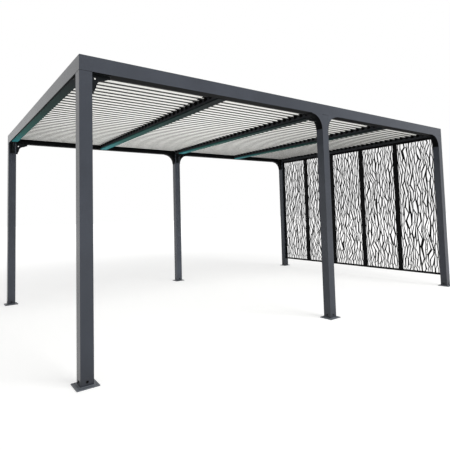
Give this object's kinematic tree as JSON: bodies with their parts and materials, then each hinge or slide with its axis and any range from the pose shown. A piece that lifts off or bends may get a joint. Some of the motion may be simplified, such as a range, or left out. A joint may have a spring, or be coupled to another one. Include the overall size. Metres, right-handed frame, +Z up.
{
  "type": "louvered pergola",
  "caption": "Free-standing pergola with square posts on base plates, a box-beam roof of tilting louver blades, and one end closed by a pierced privacy screen.",
  "frame": {"origin": "on the ground, at the middle of the six posts", "axes": "+X to the right along the long front towards the screen, +Y from front to back, +Z up"},
  "size_m": [5.465, 3.665, 2.4],
  "materials": {
    "frame_coat": "anthracite powder coat on aluminium, matt",
    "plate_coat": "anthracite powder coat on the steel base plates",
    "screen_coat": "black powder coat on aluminium, matt",
    "blade_coat": "pale grey coated aluminium blades"
  },
  "bodies": {
    "frame": {"post_front_left": "frame_coat", "post_front_middle": "frame_coat", "post_front_right": "frame_coat", "post_back_left": "frame_coat", "post_back_middle": "frame_coat", "post_back_right": "frame_coat", "base_plates": "plate_coat", "beam_front": "frame_coat", "beam_back": "frame_coat", "beam_left": "frame_coat", "beam_right": "frame_coat", "crossbeams": "frame_coat", "bracket_front_left": "frame_coat", "bracket_back_left": "frame_coat", "brackets_across": "frame_coat", "corner_fairings": "frame_coat", "screen_rails": "screen_coat", "screen_stiles": "screen_coat", "screen_panel_1": "screen_coat", "screen_panel_2": "screen_coat", "screen_panel_3": "screen_coat", "screen_panel_4": "screen_coat", "screen_panel_5": "screen_coat"},
    "blades_01": {"louver_row_01": "blade_coat"},
    "blades_02": {"louver_row_02": "blade_coat"},
    "blades_03": {"louver_row_03": "blade_coat"},
    "blades_04": {"louver_row_04": "blade_coat"},
    "blades_05": {"louver_row_05": "blade_coat"},
    "blades_06": {"louver_row_06": "blade_coat"},
    "blades_07": {"louver_row_07": "blade_coat"},
    "blades_08": {"louver_row_08": "blade_coat"},
    "blades_09": {"louver_row_09": "blade_coat"},
    "blades_10": {"louver_row_10": "blade_coat"},
    "blades_11": {"louver_row_11": "blade_coat"},
    "blades_12": {"louver_row_12": "blade_coat"},
    "blades_13": {"louver_row_13": "blade_coat"},
    "blades_14": {"louver_row_14": "blade_coat"},
    "blades_15": {"louver_row_15": "blade_coat"},
    "blades_16": {"louver_row_16": "blade_coat"},
    "blades_17": {"louver_row_17": "blade_coat"},
    "blades_18": {"louver_row_18": "blade_coat"},
    "blades_19": {"louver_row_19": "blade_coat"},
    "blades_20": {"louver_row_20": "blade_coat"},
    "blades_21": {"louver_row_21": "blade_coat"},
    "blades_22": {"louver_row_22": "blade_coat"},
    "blades_23": {"louver_row_23": "blade_coat"},
    "blades_24": {"louver_row_24": "blade_coat"},
    "blades_25": {"louver_row_25": "blade_coat"},
    "blades_26": {"louver_row_26": "blade_coat"},
    "blades_27": {"louver_row_27": "blade_coat"},
    "blades_28": {"louver_row_28": "blade_coat"},
    "blades_29": {"louver_row_29": "blade_coat"},
    "blades_30": {"louver_row_30": "blade_coat"},
    "blades_31": {"louver_row_31": "blade_coat"},
    "blades_32": {"louver_row_32": "blade_coat"},
    "blades_33": {"louver_row_33": "blade_coat"},
    "blades_34": {"louver_row_34": "blade_coat"},
    "blades_35": {"louver_row_35": "blade_coat"},
    "blades_36": {"louver_row_36": "blade_coat"}
  },
  "joints": [
    {"name": "tilt_01", "type": "hinge", "parent": "frame", "child": "blades_01", "pos_m": [0, -1.65083, 2.35], "axis": [-1, 0, 0], "range_deg": [-3, 87]},
    {"name": "tilt_02", "type": "hinge", "parent": "frame", "child": "blades_02", "pos_m": [0, -1.5565, 2.35], "axis": [-1, 0, 0], "range_deg": [-3, 87]},
    {"name": "tilt_03", "type": "hinge", "parent": "frame", "child": "blades_03", "pos_m": [0, -1.46217, 2.35], "axis": [-1, 0, 0], "range_deg": [-3, 87]},
    {"name": "tilt_04", "type": "hinge", "parent": "frame", "child": "blades_04", "pos_m": [0, -1.36783, 2.35], "axis": [-1, 0, 0], "range_deg": [-3, 87]},
    {"name": "tilt_05", "type": "hinge", "parent": "frame", "child": "blades_05", "pos_m": [0, -1.2735, 2.35], "axis": [-1, 0, 0], "range_deg": [-3, 87]},
    {"name": "tilt_06", "type": "hinge", "parent": "frame", "child": "blades_06", "pos_m": [0, -1.17917, 2.35], "axis": [-1, 0, 0], "range_deg": [-3, 87]},
    {"name": "tilt_07", "type": "hinge", "parent": "frame", "child": "blades_07", "pos_m": [0, -1.08483, 2.35], "axis": [-1, 0, 0], "range_deg": [-3, 87]},
    {"name": "tilt_08", "type": "hinge", "parent": "frame", "child": "blades_08", "pos_m": [0, -0.9905, 2.35], "axis": [-1, 0, 0], "range_deg": [-3, 87]},
    {"name": "tilt_09", "type": "hinge", "parent": "frame", "child": "blades_09", "pos_m": [0, -0.89617, 2.35], "axis": [-1, 0, 0], "range_deg": [-3, 87]},
    {"name": "tilt_10", "type": "hinge", "parent": "frame", "child": "blades_10", "pos_m": [0, -0.80183, 2.35], "axis": [-1, 0, 0], "range_deg": [-3, 87]},
    {"name": "tilt_11", "type": "hinge", "parent": "frame", "child": "blades_11", "pos_m": [0, -0.7075, 2.35], "axis": [-1, 0, 0], "range_deg": [-3, 87]},
    {"name": "tilt_12", "type": "hinge", "parent": "frame", "child": "blades_12", "pos_m": [0, -0.61317, 2.35], "axis": [-1, 0, 0], "range_deg": [-3, 87]},
    {"name": "tilt_13", "type": "hinge", "parent": "frame", "child": "blades_13", "pos_m": [0, -0.51883, 2.35], "axis": [-1, 0, 0], "range_deg": [-3, 87]},
    {"name": "tilt_14", "type": "hinge", "parent": "frame", "child": "blades_14", "pos_m": [0, -0.4245, 2.35], "axis": [-1, 0, 0], "range_deg": [-3, 87]},
    {"name": "tilt_15", "type": "hinge", "parent": "frame", "child": "blades_15", "pos_m": [0, -0.33017, 2.35], "axis": [-1, 0, 0], "range_deg": [-3, 87]},
    {"name": "tilt_16", "type": "hinge", "parent": "frame", "child": "blades_16", "pos_m": [0, -0.23583, 2.35], "axis": [-1, 0, 0], "range_deg": [-3, 87]},
    {"name": "tilt_17", "type": "hinge", "parent": "frame", "child": "blades_17", "pos_m": [0, -0.1415, 2.35], "axis": [-1, 0, 0], "range_deg": [-3, 87]},
    {"name": "tilt_18", "type": "hinge", "parent": "frame", "child": "blades_18", "pos_m": [0, -0.04717, 2.35], "axis": [-1, 0, 0], "range_deg": [-3, 87]},
    {"name": "tilt_19", "type": "hinge", "parent": "frame", "child": "blades_19", "pos_m": [0, 0.04717, 2.35], "axis": [-1, 0, 0], "range_deg": [-3, 87]},
    {"name": "tilt_20", "type": "hinge", "parent": "frame", "child": "blades_20", "pos_m": [0, 0.1415, 2.35], "axis": [-1, 0, 0], "range_deg": [-3, 87]},
    {"name": "tilt_21", "type": "hinge", "parent": "frame", "child": "blades_21", "pos_m": [0, 0.23583, 2.35], "axis": [-1, 0, 0], "range_deg": [-3, 87]},
    {"name": "tilt_22", "type": "hinge", "parent": "frame", "child": "blades_22", "pos_m": [0, 0.33017, 2.35], "axis": [-1, 0, 0], "range_deg": [-3, 87]},
    {"name": "tilt_23", "type": "hinge", "parent": "frame", "child": "blades_23", "pos_m": [0, 0.4245, 2.35], "axis": [-1, 0, 0], "range_deg": [-3, 87]},
    {"name": "tilt_24", "type": "hinge", "parent": "frame", "child": "blades_24", "pos_m": [0, 0.51883, 2.35], "axis": [-1, 0, 0], "range_deg": [-3, 87]},
    {"name": "tilt_25", "type": "hinge", "parent": "frame", "child": "blades_25", "pos_m": [0, 0.61317, 2.35], "axis": [-1, 0, 0], "range_deg": [-3, 87]},
    {"name": "tilt_26", "type": "hinge", "parent": "frame", "child": "blades_26", "pos_m": [0, 0.7075, 2.35], "axis": [-1, 0, 0], "range_deg": [-3, 87]},
    {"name": "tilt_27", "type": "hinge", "parent": "frame", "child": "blades_27", "pos_m": [0, 0.80183, 2.35], "axis": [-1, 0, 0], "range_deg": [-3, 87]},
    {"name": "tilt_28", "type": "hinge", "parent": "frame", "child": "blades_28", "pos_m": [0, 0.89617, 2.35], "axis": [-1, 0, 0], "range_deg": [-3, 87]},
    {"name": "tilt_29", "type": "hinge", "parent": "frame", "child": "blades_29", "pos_m": [0, 0.9905, 2.35], "axis": [-1, 0, 0], "range_deg": [-3, 87]},
    {"name": "tilt_30", "type": "hinge", "parent": "frame", "child": "blades_30", "pos_m": [0, 1.08483, 2.35], "axis": [-1, 0, 0], "range_deg": [-3, 87]},
    {"name": "tilt_31", "type": "hinge", "parent": "frame", "child": "blades_31", "pos_m": [0, 1.17917, 2.35], "axis": [-1, 0, 0], "range_deg": [-3, 87]},
    {"name": "tilt_32", "type": "hinge", "parent": "frame", "child": "blades_32", "pos_m": [0, 1.2735, 2.35], "axis": [-1, 0, 0], "range_deg": [-3, 87]},
    {"name": "tilt_33", "type": "hinge", "parent": "frame", "child": "blades_33", "pos_m": [0, 1.36783, 2.35], "axis": [-1, 0, 0], "range_deg": [-3, 87]},
    {"name": "tilt_34", "type": "hinge", "parent": "frame", "child": "blades_34", "pos_m": [0, 1.46217, 2.35], "axis": [-1, 0, 0], "range_deg": [-3, 87]},
    {"name": "tilt_35", "type": "hinge", "parent": "frame", "child": "blades_35", "pos_m": [0, 1.5565, 2.35], "axis": [-1, 0, 0], "range_deg": [-3, 87]},
    {"name": "tilt_36", "type": "hinge", "parent": "frame", "child": "blades_36", "pos_m": [0, 1.65083, 2.35], "axis": [-1, 0, 0], "range_deg": [-3, 87]}
  ],
  "couplings": [
    {"joint": "tilt_02", "follows": "tilt_01", "ratio": 1},
    {"joint": "tilt_03", "follows": "tilt_01", "ratio": 1},
    {"joint": "tilt_04", "follows": "tilt_01", "ratio": 1},
    {"joint": "tilt_05", "follows": "tilt_01", "ratio": 1},
    {"joint": "tilt_06", "follows": "tilt_01", "ratio": 1},
    {"joint": "tilt_07", "follows": "tilt_01", "ratio": 1},
    {"joint": "tilt_08", "follows": "tilt_01", "ratio": 1},
    {"joint": "tilt_09", "follows": "tilt_01", "ratio": 1},
    {"joint": "tilt_10", "follows": "tilt_01", "ratio": 1},
    {"joint": "tilt_11", "follows": "tilt_01", "ratio": 1},
    {"joint": "tilt_12", "follows": "tilt_01", "ratio": 1},
    {"joint": "tilt_13", "follows": "tilt_01", "ratio": 1},
    {"joint": "tilt_14", "follows": "tilt_01", "ratio": 1},
    {"joint": "tilt_15", "follows": "tilt_01", "ratio": 1},
    {"joint": "tilt_16", "follows": "tilt_01", "ratio": 1},
    {"joint": "tilt_17", "follows": "tilt_01", "ratio": 1},
    {"joint": "tilt_18", "follows": "tilt_01", "ratio": 1},
    {"joint": "tilt_19", "follows": "tilt_01", "ratio": 1},
    {"joint": "tilt_20", "follows": "tilt_01", "ratio": 1},
    {"joint": "tilt_21", "follows": "tilt_01", "ratio": 1},
    {"joint": "tilt_22", "follows": "tilt_01", "ratio": 1},
    {"joint": "tilt_23", "follows": "tilt_01", "ratio": 1},
    {"joint": "tilt_24", "follows": "tilt_01", "ratio": 1},
    {"joint": "tilt_25", "follows": "tilt_01", "ratio": 1},
    {"joint": "tilt_26", "follows": "tilt_01", "ratio": 1},
    {"joint": "tilt_27", "follows": "tilt_01", "ratio": 1},
    {"joint": "tilt_28", "follows": "tilt_01", "ratio": 1},
    {"joint": "tilt_29", "follows": "tilt_01", "ratio": 1},
    {"joint": "tilt_30", "follows": "tilt_01", "ratio": 1},
    {"joint": "tilt_31", "follows": "tilt_01", "ratio": 1},
    {"joint": "tilt_32", "follows": "tilt_01", "ratio": 1},
    {"joint": "tilt_33", "follows": "tilt_01", "ratio": 1},
    {"joint": "tilt_34", "follows": "tilt_01", "ratio": 1},
    {"joint": "tilt_35", "follows": "tilt_01", "ratio": 1},
    {"joint": "tilt_36", "follows": "tilt_01", "ratio": 1}
  ]
}
